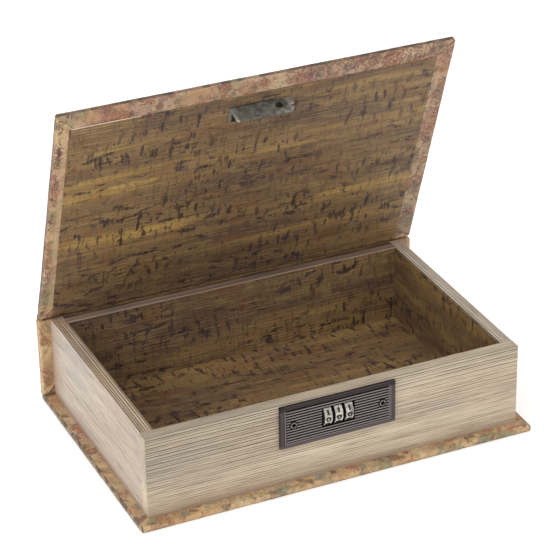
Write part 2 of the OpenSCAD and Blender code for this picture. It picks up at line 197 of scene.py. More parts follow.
# ---------------------------------------------------------------- materials
def cork_material(name, along=None, across=None, gain=1.0, offset=(0.0, 0.0), strike_shadow=None, gold=1.0):
    """Printed cork-and-reed paper: woven fine lines, gold and dark bands, dark hatched flecks.

    strike_shadow is (u from, u to, v): a painted shadow line on the paper beside the foot of a fitting.
    gold is how strongly the golden bands show.
    """
    t = Tree(name)
    if along is None:
        u, v = t.split(t.uv())[:2]
    else:
        p = t.object_at()
        u, v = t.vmath("DOT_PRODUCT", p, along, out=1), t.vmath("DOT_PRODUCT", p, across, out=1)
    flat_u, flat_v = u, v
    u = t.add(u, offset[0])
    v = t.add(v, offset[1])
    wander = t.noise(t.xyz(t.mul(u, 16.0), t.mul(v, 70.0)), 1.0, 1.0)
    v = t.add(v, t.mul(wander, 0.0020))
    sway = t.noise(t.xyz(t.mul(u, 150.0), t.mul(v, 55.0), 4.0), 1.0, 2.0)
    u = t.add(u, t.mul(sway, 0.0016))

    def at(su, sv, z=0.0):
        return t.xyz(t.mul(u, su), t.mul(v, sv), z)

    def layer(su, sv, z, lo, hi, detail=1.0):
        return t.step(t.noise(at(su, sv, z), 1.0, detail), lo, hi)

    band = t.noise(at(2.6, 52.0), 1.0, 3.0, 0.6)
    base = t.ramp(band, (0.33, srgb(98, 74, 52)), (0.45, srgb(122, 96, 64)), (0.54, srgb(136, 108, 70)),
                  (0.60, srgb(136 + 24 * gold, 108 + 20 * gold, 70 + 2 * gold)),
                  (0.67, srgb(136 + 50 * gold, 108 + 42 * gold, 70 + 16 * gold)))
    base = t.mix(t.mul(layer(11.0, 48.0, 3.0, 0.50, 0.64), 0.55), base, srgb(90, 68, 58))
    base = t.mix(t.mul(layer(34.0, 90.0, 21.0, 0.52, 0.68), 0.40), base, srgb(126, 84, 50))
    base = t.mix(t.mul(layer(60.0, 140.0, 33.0, 0.54, 0.70), 0.40), base, srgb(150, 124, 78))
    # the woven ground: rows about two millimetres high, and finer lines across them
    rows = t.math("FRACT", t.add(t.mul(v, 480.0), t.mul(t.noise(at(30.0, 90.0, 8.0), 1.0, 1.0), 0.7)))
    row_line = t.step(t.absolute(t.sub(rows, 0.5)), 0.30, 0.48)
    row_on = layer(22.0, 120.0, 14.0, 0.36, 0.62)
    row_line = t.mul(row_line, row_on)
    base = t.mix(t.mul(row_line, 0.42), base, srgb(66, 47, 33))
    fine = t.noise(at(40.0, 900.0, 5.0), 1.0, 2.0, 0.6)
    base = t.mix(t.mul(t.step(fine, 0.52, 0.70), 0.30), base, srgb(72, 52, 36))
    base = t.mix(t.mul(t.step(fine, 0.46, 0.34), 0.38), base, srgb(172, 143, 96))
    cross = t.noise(at(820.0, 70.0, 2.0), 1.0, 2.0, 0.6)
    base = t.mix(t.mul(t.step(cross, 0.50, 0.68), 0.36), base, srgb(74, 54, 38))
    # dark flecks: upright ones that cross a few rows, low ones along a row, and small dashes
    crowd = layer(13.0, 30.0, 11.0, 0.40, 0.60)
    upright = t.mul(layer(270.0, 100.0, 7.0, 0.545, 0.62, 2.0), t.add(t.mul(crowd, 0.8), 0.2))
    low = t.mul(layer(85.0, 230.0, 19.0, 0.555, 0.63, 2.0), layer(17.0, 44.0, 27.0, 0.42, 0.58))
    dash = layer(360.0, 330.0, 15.0, 0.64, 0.72)
    fleck = t.larger(upright, t.larger(low, t.mul(dash, 0.8)))
    hatch = t.add(t.mul(t.step(cross, 0.34, 0.56), 0.45), 0.48)
    dark = t.mul(fleck, hatch)
    ink_tone = t.mix(layer(40.0, 60.0, 41.0, 0.44, 0.56), srgb(48, 32, 28), srgb(58, 42, 50))
    base = t.mix(dark, base, ink_tone)
    if gain != 1.0:
        base = t.mix(1.0, base, (gain, gain, gain), "MULTIPLY")
    # painted shadow line beside the strike's foot
    if strike_shadow is not None:
        line = t.step(t.absolute(t.sub(flat_v, strike_shadow[2])), 0.0006, 0.0003)
        line = t.mul(line, t.step(flat_u, strike_shadow[0] - 0.0008, strike_shadow[0] + 0.0002))
        line = t.mul(line, t.step(flat_u, strike_shadow[1] + 0.0020, strike_shadow[1] - 0.0010))
        base = t.mix(t.mul(line, 0.85), base, srgb(38, 28, 22))
    height = t.sub(t.mul(fine, 0.4), t.add(t.mul(dark, 0.7), t.mul(row_line, 0.3)))
    return t.finish(base, t.ramp(fine, (0.3, 0.50), (0.7, 0.66)), height, 0.0006, 0.8)


def page_material(name, along, face=None, gain=(1.0, 1.0, 1.0), shift=0.0, upper_left=0.0):
    """Imitation page edges: long fine lines along the face, with painted shade down in the modelled grooves.

    face is "front" for the wall whose outer face looks along -Y, "side" for the two end walls.
    upper_left is how much darker and more sharply lined the wall is at its upper left, with its painted
    groove shade deepened there.
    """
    t = Tree(name)
    p = t.object_at()
    u = t.vmath("DOT_PRODUCT", p, along, out=1)
    z = t.split(p)[2]
    wave = t.noise(t.xyz(t.mul(u, 22.0), t.mul(z, 80.0), shift), 1.0, 1.0)
    z = t.add(z, t.mul(wave, 0.0010))
    cross = t.vmath("DOT_PRODUCT", p, (along[1], along[0], 0.0), out=1)

    def at(su, sz, k=0.0):
        return t.xyz(t.mul(u, su), t.mul(z, sz), t.add(t.mul(cross, sz), k + shift))

    def layer(su, sz, k, lo, hi, detail=1.0):
        return t.step(t.noise(at(su, sz, k), 1.0, detail), lo, hi)

    tone = t.noise(at(6.0, 60.0), 1.0, 2.0, 0.6)
    base = t.ramp(tone, (0.32, srgb(184, 168, 150)), (0.50, srgb(200, 184, 164)),
                  (0.66, srgb(214, 200, 180)))
    base = t.mix(t.mul(layer(9.0, 30.0, 4.0, 0.46, 0.66), 0.45), base, srgb(202, 176, 156))
    base = t.mix(t.mul(layer(12.0, 50.0, 12.0, 0.54, 0.70), 0.45), base, srgb(168, 164, 158))
    lines = layer(40.0, 700.0, 6.0, 0.54, 0.66, 2.0)
    base = t.mix(t.mul(lines, 0.34), base, srgb(128, 110, 94))
    fine = t.noise(at(70.0, 2100.0, 2.0), 1.0, 2.0, 0.6)
    base = t.mix(t.mul(t.step(fine, 0.50, 0.66), 0.38), base, srgb(138, 120, 102))
    base = t.mix(t.mul(layer(30.0, 900.0, 8.0, 0.56, 0.68), 0.34), base, srgb(228, 218, 202))
    if face is not None:
        at_xyz = t.split(p)
        depth = (t.sub(at_xyz[1], Y0 * MM) if face == "front"
                 else t.sub(BLOCK_X * MM, t.absolute(at_xyz[0])))
        # painted shade in the bottoms of the modelled grooves on the outer face
        groove_shade = t.mul(t.step(depth, 0.00002, 0.00012), t.step(depth, 0.0004, 0.0003))
        crisp, faint = (0.46, 0.29) if face == "front" else (0.34, 0.20)
        broken = t.add(t.mul(layer(18.0, 60.0, 23.0, 0.40, 0.60), crisp), faint)
        # the upper left zone: greyer, with deeper painted groove shade
        high = t.mul(t.step(at_xyz[2], 0.018, 0.046), t.step(at_xyz[0], 0.050, -0.070))
        top_lines = t.mul(t.step(at_xyz[2], 0.040, 0.053), 0.50)
        high = t.mul(t.larger(high, top_lines), upper_left)
        groove_shade = t.mul(groove_shade, t.add(broken, t.mul(high, 0.60)), clamp=True)
        top = t.sub(BLOCK_TOP * MM, at_xyz[2])
        # painted shade in the bottoms of the modelled grooves along the wall's top edge
        rim = t.mul(t.step(top, 0.00004, 0.0003), t.step(top, 0.0006, 0.00052))
        rim = t.mul(rim, t.step(depth, 0.0004, 0.0006))
        rim = t.mul(rim, t.sub(1.0, t.mul(t.step(at_xyz[0], 0.1138, 0.1150), 0.7)))
        base = t.mix(t.mul(high, 0.28), base, srgb(122, 120, 106))
        # colour of the painted groove shade
        groove_shade_tone = t.mix(high, srgb(92, 76, 64), srgb(72, 62, 54))
        base = t.mix(t.larger(groove_shade, t.mul(rim, 0.9)), base, groove_shade_tone)
        if face == "front":
            leaf = t.add(t.mul(at_xyz[1], 720.0), t.mul(layer(14.0, 40.0, 31.0, 0.3, 0.7), 0.8))
            leaf = t.step(t.absolute(t.sub(t.math("FRACT", leaf), 0.5)), 0.26, 0.40)
            leaf = t.mul(leaf, t.step(top, 0.0006, 0.0003))
            base = t.mix(t.mul(leaf, 0.50), base, srgb(98, 88, 76))
    # painted shade with a painted reflection of the cover, towards the wall's foot
    foot_shade = t.step(t.split(p)[2], 0.0150, 0.0045)
    base = t.mix(t.mul(foot_shade, 0.30 if face == "front" else 0.42), base, srgb(158, 122, 102))
    base = t.mix(1.0, base, gain, "MULTIPLY")
    # painted shade in the crease where the wall meets the bottom cover
    crease = t.step(t.split(p)[2], 0.0078, 0.0043)
    base = t.mix(t.mul(crease, 0.25 if face == "front" else 0.45), base, srgb(116, 90, 72))
    if face == "side":
        spine_end = t.step(at_xyz[1], (Y0 + 134.0) * MM, (Y0 + 153.0) * MM)
        base = t.mix(t.mul(spine_end, 0.42), base, srgb(160, 128, 106))
        on_top = t.mul(t.step(top, 0.0009, 0.0006), t.step(depth, 0.0002, 0.0005))
        on_top = t.mul(on_top, t.step(at_xyz[0], 0.05, -0.05))
        base = t.mix(on_top, base, t.mix(1.0, base, (1.0, 0.90, 0.78), "MULTIPLY"))
    height = t.add(t.mul(fine, 0.5), t.mul(lines, -0.5))
    return t.finish(base, 0.74, height, 0.00022, 0.55)


def rim_material(name="page_edges_back"):
    """The back wall's brown top edge: fine stripes along it, pale beside the lining, its rear part painted
    as dark cork-print paper in painted shadow at the joint.
    """
    t = Tree(name)
    p = t.object_at()
    x, y, z = t.split(p)[:3]
    tone = t.noise(t.xyz(t.mul(x, 14.0), t.mul(y, 260.0), t.mul(z, 260.0)), 1.0, 2.0)
    col = t.ramp(tone, (0.34, srgb(116, 94, 80)), (0.52, srgb(136, 113, 97)), (0.66, srgb(156, 133, 116)))
    stripe = t.noise(t.xyz(t.mul(x, 16.0), t.mul(y, 1500.0), t.mul(z, 1500.0)), 1.0, 1.0)
    col = t.mix(t.mul(t.step(stripe, 0.50, 0.60), 0.60), col, srgb(78, 60, 50))
    front = t.sub(y, BACK_WALL_Y * MM)
    col = t.mix(t.mul(t.step(front, 0.0011, 0.0006), 0.75), col, srgb(184, 164, 148))
    # the rear part is painted as cork-print paper in painted shadow at the joint
    mottle = t.noise(t.xyz(t.mul(x, 90.0), t.mul(y, 320.0)), 1.0, 2.0)
    cork = t.ramp(mottle, (0.38, srgb(62, 46, 36)), (0.60, srgb(104, 80, 56)))
    col = t.mix(t.mul(t.step(front, 0.0054, 0.0062), 0.90), col, cork)
    return t.finish(col, 0.74, stripe, 0.0002, 0.5)


def cloth_material(name="book_cloth", offset=(0.0, 0.0), warm=0.0, print_gain=1.0, line_gain=1.0,
                   edges=(), rosy=0.0, blots=0.0):
    """Printed book cloth: tan and rose ground, flower heads in fine terracotta and plum lines, sprigs.

    warm shifts the ground to ochre. rosy shifts the lid's front and right margins to mauve and adds the
    pattern of its left turn-in. print_gain and line_gain weight the colour fills and the drawn lines.
    blots adds dark brown, rust and grey-green patches. edges holds (direction, near, far, amount): darkened
    bands of rubbed wear with painted shade, each between two places along its direction in metres.
    """
    t = Tree(name)
    uv = t.vmath("ADD", t.uv(), (*offset, 0.0))
    wob = t.vmath("SUBTRACT", t.noise(uv, 120.0, 2.0, out=1), (0.5, 0.5, 0.5))
    p = t.vmath("ADD", uv, t.vmath("MULTIPLY", wob, (0.0030, 0.0030, 0.0)))

    def moved(a, b, of=uv):
        return t.vmath("ADD", of, (a, b, 0.0))

    def patch(a, b, scale, lo, hi, amount, detail=2.0):
        return t.mul(t.step(t.noise(moved(a, b), scale, detail, 0.55, 0.4), lo, hi), amount)

    col = t.ramp(t.noise(uv, 40.0, 3.0, 0.62), (0.30, srgb(142, 116, 84)),
                 (0.43, srgb(172, 142, 104)), (0.53, srgb(190, 160, 120)),
                 (0.64, srgb(206, 182, 138)), (0.76, srgb(162, 156, 118)))
    col = t.mix(warm, col, srgb(204, 178, 134))
    col = t.mix(patch(0.0, 0.0, 30.0, 0.52, 0.62, 0.55), col, srgb(186, 138, 92))
    col = t.mix(patch(3.1, 1.7, 34.0, 0.56, 0.66, 0.50), col, srgb(186, 150, 132))
    col = t.mix(patch(7.3, 4.1, 44.0, 0.54, 0.66, 0.65), col, srgb(120, 124, 94))

    def flowers(scale, size, petals, seed, fills, line, cover, fill=0.55):
        """Scatters flower heads: scalloped outline, rings, petal lines, a random turn and size each."""
        nonlocal col
        q = moved(seed, seed * 0.37, p)
        v = t.voronoi(q, scale)
        d = t.vmath("SUBTRACT", q, v["Position"])
        s = t.split(d)
        lot = t.split(v["Color"])
        a = t.add(t.math("ARCTAN2", s[1], s[0]), t.mul(lot[2], 6.28))
        scallop = t.absolute(t.math("COSINE", t.mul(a, petals / 2.0)))
        lobe = t.mul(t.add(t.mul(scallop, 0.26), 0.76), size)
        lobe = t.mul(lobe, t.add(t.mul(lot[1], 0.6), 0.6))
        k = t.math("DIVIDE", t.vmath("LENGTH", d, out=1), lobe)
        on = t.step(lot[0], cover + 0.01, cover - 0.01)
        body = t.mul(t.step(k, 1.0, 0.92), on)
        stops = [(i / max(1, len(fills) - 1), c) for i, c in enumerate(fills)]
        tone = t.ramp(lot[1], *stops, mode="CONSTANT")
        col = t.mix(t.mul(body, fill * print_gain), col, tone)
        rings = t.step(t.math("SINE", t.mul(k, 19.0)), 0.55, 0.90)
        spokes = t.mul(t.step(scallop, 0.22, 0.08), t.step(k, 0.20, 0.32))
        outline = t.step(k, 0.86, 0.92)
        drawn = t.mul(t.larger(outline, t.larger(rings, spokes)), body)
        heart = t.mul(t.step(k, 0.20, 0.13), on)
        col = t.mix(t.mul(t.larger(drawn, heart), 0.80 * line_gain), col, line)

    leaves = [srgb(112, 122, 78), srgb(142, 140, 92), srgb(92, 104, 78)]
    roses = [srgb(192, 146, 110), srgb(176, 112, 72), srgb(188, 140, 120)]
    asters = [srgb(150, 84, 66), srgb(186, 118, 66), srgb(120, 72, 80)]
    flowers(170.0, 0.0026, 6, 2.3, leaves, srgb(62, 62, 44), 0.42, 0.65)
    flowers(82.0, 0.0062, 12, 5.1, roses, srgb(118, 42, 40), 0.58, 0.40)
    flowers(120.0, 0.0040, 9, 9.7, asters, srgb(66, 30, 36), 0.42, 0.50)
    flowers(110.0, 0.0046, 8, 14.3, [srgb(120, 84, 62), srgb(96, 84, 62)], srgb(44, 28, 26), 0.30, 0.30)
    vein = t.voronoi(moved(0.4, 0.9, p), 74.0, "DISTANCE_TO_EDGE")["Distance"]
    stems = t.mul(t.step(vein, 0.040, 0.018), patch(1.9, 5.2, 46.0, 0.46, 0.56, 0.60 * line_gain, 1.0))
    col = t.mix(stems, col, srgb(92, 50, 40))
    net = t.voronoi(moved(1.4, 0.2, p), 330.0, "DISTANCE_TO_EDGE")["Distance"]
    netted = patch(8.8, 2.6, 60.0, 0.50, 0.60, 0.55 * min(1.0, line_gain), 1.0)
    col = t.mix(t.mul(t.step(net, 0.09, 0.04), netted), col, srgb(110, 46, 42))
    swirl = t.math("FRACT", t.mul(t.noise(moved(2.2, 7.7), 105.0, 2.0, 0.5, 0.3), 9.0))
    swirl = t.step(t.absolute(t.sub(swirl, 0.5)), 0.20, 0.10)
    scroll = t.mul(swirl, patch(6.4, 3.3, 42.0, 0.50, 0.57, 0.70 * line_gain, 1.0))
    col = t.mix(scroll, col, srgb(92, 38, 42))
    if blots:
        for a, b, scale, low, tone in ((11.0, 3.0, 90.0, 0.57, srgb(92, 60, 48)),
                                       (13.0, 6.4, 76.0, 0.58, srgb(162, 88, 56)),
                                       (17.0, 2.2, 64.0, 0.58, srgb(112, 122, 106))):
            col = t.mix(patch(a, b, scale, low, low + 0.05, blots, 3.0), col, tone)
    wear_and_shade = patch(5.5, 6.1, 420.0, 0.5, 0.8, 0.28)
    col = t.mix(wear_and_shade, col, srgb(214, 192, 162))
    s = t.split(uv)
    weave = t.mul(t.math("SINE", t.mul(s[0], 9000.0)), t.math("SINE", t.mul(s[1], 9000.0)))
    col = t.mix(t.mul(t.step(weave, 0.1, 0.9), 0.12), col, srgb(80, 58, 44))
    scratch = t.noise(t.xyz(t.mul(s[0], 900.0), t.mul(s[1], 260.0)), 1.0, 2.0, 0.6, 0.5)
    drawn_at = patch(4.2, 9.6, 38.0, 0.44, 0.56, 1.0)
    col = t.mix(t.mul(t.mul(t.step(scratch, 0.56, 0.64), drawn_at), 0.50), col, srgb(84, 52, 38))
    plain = t.split(t.uv())
    margin = t.larger(t.step(plain[1], -0.035, -0.070), t.step(plain[0], 0.090, 0.112))
    margin = t.mul(margin, t.step(plain[0], -0.117, -0.100))
    col = t.mix(t.mul(margin, rosy), col, srgb(132, 102, 100))
    if rosy:  # the lid's left turn-in: pale beside the lining, plum scrolls along the outer edge
        pale = t.step(plain[0], -0.1350, -0.1375)
        col = t.mix(t.mul(pale, 0.36), col, srgb(204, 176, 138))
        turned_in = t.step(plain[0], -0.1308, -0.1316)
        col = t.mix(t.mul(turned_in, 0.12), col, srgb(206, 174, 136))
        outer = t.mul(t.step(plain[0], -0.1308, -0.1316), t.step(plain[0], -0.1368, -0.1350))
        outer = t.mul(outer, patch(12.7, 8.1, 50.0, 0.43, 0.53, 0.75))
        col = t.mix(t.mul(outer, swirl), col, srgb(72, 40, 52))
    smear = t.step(t.noise(uv, 160.0, 2.0), 0.42, 0.60)
    # darkened edge bands: rubbed wear with painted shade
    for direction, near, far, amount in edges:
        at = t.vmath("DOT_PRODUCT", t.object_at(), direction, out=1)
        band = t.mul(t.step(at, near, near + 0.0005), t.step(at, far, far - 0.0005))
        rubbed_and_shaded = t.add(t.mul(smear, 0.55 * amount), 0.45 * amount)
        col = t.mix(t.mul(band, rubbed_and_shaded), col, srgb(70, 54, 46))
    height = t.add(t.mul(weave, 0.3), t.noise(uv, 240.0, 2.0))
    return t.finish(col, 0.62, height, 0.00012, 0.5, Sheen_Weight=0.10, Specular_IOR_Level=0.35)


def metal_material(name, base, other, rough=0.42, metal=0.85, scale=260.0, grime=0.35, wear_and_shade=(),
                   shadow_spot=None, shaded_ends=None):
    """Cast or rolled metal with a fine grain and cloudy tarnish.

    wear_and_shade holds (direction, from, to, colour, amount): painted light and shade, each colour coming
    in between two depths along its direction. shadow_spot is (centre, radius, colour): a round painted
    shadow. shaded_ends is (pitch, half, colour): painted shade on the ends of a row of discs along X, past
    half a width from each disc's middle. All lengths in metres.
    """
    t = Tree(name)
    p = t.object_at()
    n = t.noise(p, scale, 3.0, 0.6)
    cloud = t.noise(p, scale * 0.22, 2.0, 0.5)
    col = t.mix(t.step(n, 0.36, 0.66), base, other)
    col = t.mix(t.mul(t.step(cloud, 0.48, 0.72), grime), col, tuple(c * 0.45 for c in base))
    # bands of painted light and shade
    for direction, near, far, colour, amount in wear_and_shade:
        at = t.vmath("DOT_PRODUCT", p, direction, out=1)
        col = t.mix(t.mul(t.step(at, near, far), amount), col, colour)
    # painted shade on the ends of each disc
    if shaded_ends is not None:
        pitch, half, colour = shaded_ends
        along = t.math("FRACT", t.add(t.math("DIVIDE", t.split(p)[0], pitch), 10.5))
        past = t.mul(t.absolute(t.sub(along, 0.5)), pitch)
        col = t.mix(t.mul(t.step(past, half - 0.00008, half + 0.00008), 0.92), col, colour)
    # a round painted shadow
    if shadow_spot is not None:
        centre, radius, colour = shadow_spot
        r = t.vmath("LENGTH", t.vmath("SUBTRACT", p, centre), out=1)
        col = t.mix(t.mul(t.step(r, radius + 0.0003, radius - 0.0003), 0.95), col, colour)
    r = t.ramp(n, (0.3, max(0.05, rough - 0.08)), (0.7, rough + 0.12))
    return t.finish(col, r, n, 0.00005, 0.35, metal=metal)


def screw_material(name="plate_screw"):
    """A small dark screw head with a bright ring, painted shade round its edge, and its cross recess painted
    black as shade.
    """
    t = Tree(name)
    p = t.object_at()
    x, _, z = t.split(p)[:3]
    side = t.math("SIGN", x)
    off = t.xyz(t.sub(x, t.mul(side, PLATE_SCREW_X * MM)), 0.0, t.sub(z, PLATE_SCREW_Z * MM))
    r = t.vmath("LENGTH", off, out=1)
    n = t.noise(p, 900.0, 3.0, 0.6)
    col = t.mix(t.step(n, 0.36, 0.66), srgb(74, 67, 65), srgb(110, 102, 99))
    ring = t.mul(t.step(r, 0.00135, 0.00150), t.step(r, 0.00190, 0.00175))
    col = t.mix(t.mul(ring, 0.62), col, srgb(168, 160, 155))
    # painted shade in the gap round the head
    col = t.mix(t.mul(t.step(r, 0.00185, 0.00200), 0.92), col, srgb(26, 22, 22))
    turn = math.radians(PLATE_SCREW_TURN)
    arm_a = t.vmath("DOT_PRODUCT", off, (math.cos(turn), 0.0, -math.sin(turn)), out=1)
    arm_b = t.vmath("DOT_PRODUCT", off, (math.sin(turn), 0.0, math.cos(turn)), out=1)
    arm = t.math("MINIMUM", t.absolute(arm_a), t.absolute(arm_b))
    # the cross recess painted black as shade
    cross = t.mul(t.step(arm, 0.00072, 0.00058), t.step(r, 0.00160, 0.00145))
    col = t.mix(t.mul(cross, 0.98), col, srgb(10, 8, 8))
    return t.finish(col, 0.36, n, 0.00004, 0.35, metal=0.75)


def board_material():
    t = Tree("grey_board")
    p = t.object_at()
    n = t.noise(p, 700.0, 3.0, 0.7)
    col = t.ramp(n, (0.3, srgb(128, 120, 108)), (0.7, srgb(166, 158, 144)))
    return t.finish(col, 0.85, n, 0.0001, 0.5)


def floor_material():
    t = Tree("studio_floor")
    n = t.noise(t.object_at(), 9.0, 2.0)
    col = t.ramp(n, (0.3, (0.91, 0.91, 0.91)), (0.7, (0.93, 0.93, 0.93)))
    return t.finish(col, 0.9, Emission_Color=(1.0, 1.0, 1.0, 1.0), Emission_Strength=0.25)


RIGHT, LEFT, BACK = (1.0, 0.0, 0.0), (-1.0, 0.0, 0.0), (0.0, 1.0, 0.0)
UP, DOWN = (0.0, 0.0, 1.0), (0.0, 0.0, -1.0)
LID_UP = (0.0, -math.cos(OPEN), math.sin(OPEN))
LID_NORMAL = (TO_OPEN.to_3x3() @ Vector((0.0, 0.0, 1.0)))
LID_INNER, LID_OUTER = ((TO_OPEN @ Vector((0.0, 0.0, z))).dot(LID_NORMAL) * MM for z in (LID_IN, LID_OUT))
EDGE_X = COVER_X * MM
# the edge bands below are rubbed wear with painted shade on the edge faces of the lid and base boards, and
# painted shade at the spine's foot
cloth = cloth_material(rosy=0.24, edges=(
    (tuple(LID_NORMAL), LID_INNER + 0.0012, LID_OUTER - 0.0002, 0.9),
    (LEFT, EDGE_X - 0.0006, EDGE_X + 0.002, 0.5),
    (RIGHT, EDGE_X - 0.0008, EDGE_X + 0.002, 0.5)))
cloth_base = cloth_material("book_cloth_base", (0.37, 0.81), 0.42, 0.45, 0.40, blots=0.65, edges=(
    (UP, 0.0001, 0.0014, 0.5),
    (LEFT, EDGE_X - 0.0012, EDGE_X + 0.002, 0.9),
    (RIGHT, EDGE_X - 0.0018, EDGE_X + 0.002, 0.6)))
cloth_spine = cloth_material("book_cloth_spine", (0.93, 0.28), 0.05, 0.75, 0.60, edges=(
    (UP, (Z0 - 0.5) * MM, (Z0 + 2.6) * MM, 0.75),))
# a painted shadow line just outside the strike's foot
STRIKE_SHADOW_V = (TO_OPEN @ Vector((0.0, Y0 + 11.0, LID_IN))).dot(Vector(LID_UP)) * MM
lining_lid = cork_material("cork_print_lid", RIGHT, LID_UP, offset=(0.31, 0.02),
                           strike_shadow=(-0.0195, 0.0095, STRIKE_SHADOW_V))
lining_floor = cork_material("cork_print_floor", RIGHT, BACK, gain=1.17, offset=(0.11, 0.585), gold=0.4)
lining_long = cork_material("cork_print_long_wall", RIGHT, (0.0, 0.25, 0.97), gain=1.04,
                            offset=(0.63, 0.21), gold=0.35)
# the end walls' copy of the print is darkened as painted shade
shaded_lining_short = cork_material("cork_print_short_wall_shaded", BACK, (0.25, 0.0, 0.97), gain=0.74,
                             offset=(0.87, 0.74), gold=0.5)
# the joint's copy of the print is brightened as painted light against the shade in the joint
lit_lining_joint = cork_material("cork_print_joint_lit", gain=1.9, offset=(0.31, 0.52))
paper_core = page_material("paper_core", RIGHT, gain=(1.35, 1.30, 1.20), shift=11.0)
pages_long = page_material("page_edges_front", RIGHT, "front", gain=(0.92, 0.90, 0.84), upper_left=1.0)
pages_short = page_material("page_edges_side", BACK, "side", gain=(0.85, 0.87, 0.90), shift=3.0)
rim_brown = rim_material()
TONGUE_BACK = (0.0, math.cos(OPEN), -math.sin(OPEN))  # square to the strike's tongue, away from its front
TONGUE_AT = (TO_OPEN @ Vector((0.0, Y0 + 12.4, Z0 + 48.0))).dot(Vector(TONGUE_BACK)) * MM
plate_face = Y0 * MM  # the wall's front face, which the lock's depths are measured from
RIB_END, RECESS_END = 0.0332, 0.0340  # where the ribs and the recess stop, from the plate's middle
# painted light and shade on the lock plate: painted highlights on the rib tops, the recess's inner edges and
# the frame's right and bottom sides; painted shade in the grooves, on the frame's left side and along its
# top
bronze = metal_material("dark_bronze", srgb(82, 73, 72), srgb(96, 87, 85), 0.38, 0.75, 900.0, wear_and_shade=(
    (BACK, plate_face - 0.00145, plate_face - 0.00165, srgb(136, 127, 125), 0.90),
    (BACK, plate_face - 0.00150, plate_face - 0.00130, srgb(26, 22, 22), 0.90),
    (RIGHT, RIB_END - 0.0001, RIB_END + 0.0001, srgb(122, 112, 112), 0.85),
    (LEFT, RIB_END - 0.0001, RIB_END + 0.0001, srgb(138, 129, 128), 0.85),
    (RIGHT, RECESS_END + 0.0001, RECESS_END + 0.0003, srgb(104, 95, 94), 0.95),
    (LEFT, RECESS_END, RECESS_END + 0.0002, srgb(58, 49, 48), 0.95),
    (BACK, plate_face - 0.00190, plate_face - 0.00200, srgb(74, 65, 66), 0.95),
    (UP, (Z0 + 49.2) * MM, (Z0 + 49.7) * MM, srgb(46, 38, 40), 0.80),
    (DOWN, -(Z0 + 27.0) * MM, -(Z0 + 26.2) * MM, srgb(92, 83, 84), 0.60)))
bright_screw = screw_material()
zinc = metal_material("dull_zinc", srgb(122, 125, 122), srgb(150, 152, 148), 0.42, 0.8, 420.0, 0.5)
# painted shade behind the tongue and a painted shadow round its hole, painted highlights at its two ends
strike_zinc = metal_material(
    "strike_zinc", srgb(122, 126, 122), srgb(164, 166, 160), 0.40, 0.8, 360.0, 0.6, wear_and_shade=(
    (TONGUE_BACK, TONGUE_AT + 0.0001, TONGUE_AT + 0.0004, srgb(20, 17, 15), 0.92),
    (RIGHT, 0.0145, 0.0175, srgb(196, 194, 186), 0.75),
    (LEFT, 0.0165, 0.0185, srgb(190, 190, 184), 0.70)),
    shadow_spot=(tuple((TO_OPEN @ Vector((10.4, Y0 + 12.4, Z0 + 48.4))) * MM), 0.0025, srgb(22, 19, 17)))
steel = metal_material("plain_steel", srgb(150, 150, 152), srgb(176, 176, 178), 0.33, 0.9, 600.0)
# the hubs are coloured near-black as painted shade in the gaps between the dials
shaded_hub_steel = metal_material("dial_hub", srgb(26, 24, 23), srgb(38, 35, 33), 0.55, 0.8, 600.0)
# the ends of each dial are painted dark as shade in the gaps between the dials
dial_metal = metal_material("dial_cream", srgb(168, 165, 156), srgb(218, 215, 205), 0.34, 0.5, 900.0,
                            grime=0.80, shaded_ends=(DIAL_PITCH * MM, 0.00238, srgb(30, 27, 25)))
ink = metal_material("dial_ink", srgb(20, 18, 17), srgb(32, 28, 26), 0.55, 0.0, 900.0)
board = board_material()

FINISH = {
    "bottom_board": board, "spine_board": board, "lid_board": board,
    "floor_panel": pages_long, "front_wall": pages_long, "left_wall": pages_short, "right_wall": pages_short,
    "back_wall": rim_brown, "lining_floor": lining_floor, "lining_front": lining_long,
    "lining_back": lining_long,
    "lining_left": shaded_lining_short, "lining_right": shaded_lining_short, "lid_lining": lining_lid,
    "lock_plate": bronze, "plate_screw_left": bright_screw, "plate_screw_right": bright_screw,
    "lock_case": zinc, "lock_case_cover": zinc, "strike_bracket": strike_zinc, "latch_hook": zinc,
    "hub_left": shaded_hub_steel, "hub_middle": shaded_hub_steel, "hub_right": shaded_hub_steel,
    "dial_left": dial_metal, "dial_middle": dial_metal, "dial_right": dial_metal,
}
for node_name, o in nodes.items():
    o.data.materials.clear()
    o.data.materials.append(FINISH.get(node_name, steel))


# ---------------------------------------------------------------- mesh helpers
def new_object(name, bm, material, matrix=None, smooth=True):
    if matrix is not None:
        bm.transform(matrix)
    bm.transform(Matrix.Scale(MM, 4))
    bmesh.ops.recalc_face_normals(bm, faces=bm.faces)
    me = bpy.data.meshes.new(name)
    bm.to_mesh(me)
    bm.free()
    if smooth:
        me.shade_smooth()
    me.materials.append(material)
    o = bpy.data.objects.new(name, me)
    scene.collection.objects.link(o)
    return o


def thicken(o, mm, offset):
    m = o.modifiers.new("thickness", "SOLIDIFY")
    m.thickness = mm * MM
    m.offset = offset
    return o


